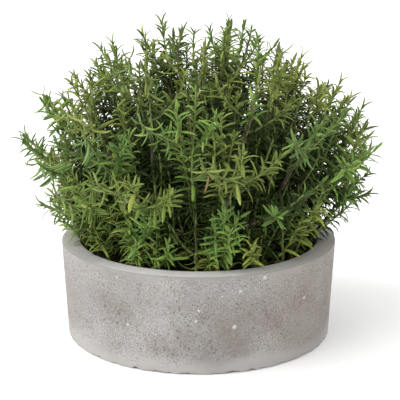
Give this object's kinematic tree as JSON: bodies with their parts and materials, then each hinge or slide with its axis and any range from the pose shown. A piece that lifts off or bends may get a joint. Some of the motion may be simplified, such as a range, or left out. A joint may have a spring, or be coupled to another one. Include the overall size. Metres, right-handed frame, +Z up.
{
  "type": "potted rosemary plant",
  "caption": "Bushy rosemary with needle-leaved upright shoots on woody stems, growing in a low round concrete bowl filled with soil.",
  "frame": {"origin": "centre of the pot's flat underside", "axes": "+Z up, out of the pot; -Y towards the front of the picture's view; +X to its right"},
  "size_m": [0.4575, 0.4647, 0.4081],
  "materials": {
    "concrete": "cast concrete, matte, with fine pits and brown-grey blotches",
    "soil": "damp dark potting soil, crumbly",
    "bark": "grey-brown rosemary bark, matte",
    "leaf": "leathery green needle leaves, paler underneath, slight sheen"
  },
  "bodies": {
    "root": {"pot": "concrete", "soil": "soil", "woody_plant_1": "bark", "woody_plant_2": "bark", "woody_plant_3": "bark", "woody_plant_4": "bark", "woody_plant_5": "bark", "woody_plant_6": "bark", "woody_plant_7": "bark", "woody_plant_8": "bark", "sprig_01": "leaf", "sprig_02": "leaf", "sprig_03": "leaf", "sprig_04": "leaf", "sprig_05": "leaf", "sprig_06": "leaf", "sprig_07": "leaf", "sprig_08": "leaf", "sprig_09": "leaf", "sprig_10": "leaf", "sprig_11": "leaf", "sprig_12": "leaf", "sprig_13": "leaf", "sprig_14": "leaf", "sprig_15": "leaf", "sprig_16": "leaf", "sprig_17": "leaf", "sprig_18": "leaf", "sprig_19": "leaf", "sprig_20": "leaf", "sprig_21": "leaf", "sprig_22": "leaf", "sprig_23": "leaf", "sprig_24": "leaf", "sprig_25": "leaf", "sprig_26": "leaf", "sprig_27": "leaf", "sprig_28": "leaf", "sprig_29": "leaf", "sprig_30": "leaf", "sprig_31": "leaf", "sprig_32": "leaf", "sprig_33": "leaf", "sprig_34": "leaf", "sprig_35": "leaf", "sprig_36": "leaf", "low_shoot_01": "leaf", "low_shoot_02": "leaf", "low_shoot_03": "leaf", "low_shoot_04": "leaf", "low_shoot_05": "leaf", "low_shoot_06": "leaf", "low_shoot_07": "leaf", "low_shoot_08": "leaf", "low_shoot_09": "leaf", "low_shoot_10": "leaf", "low_shoot_11": "leaf", "low_shoot_12": "leaf", "low_shoot_13": "leaf", "low_shoot_14": "leaf"}
  },
  "joints": []
}
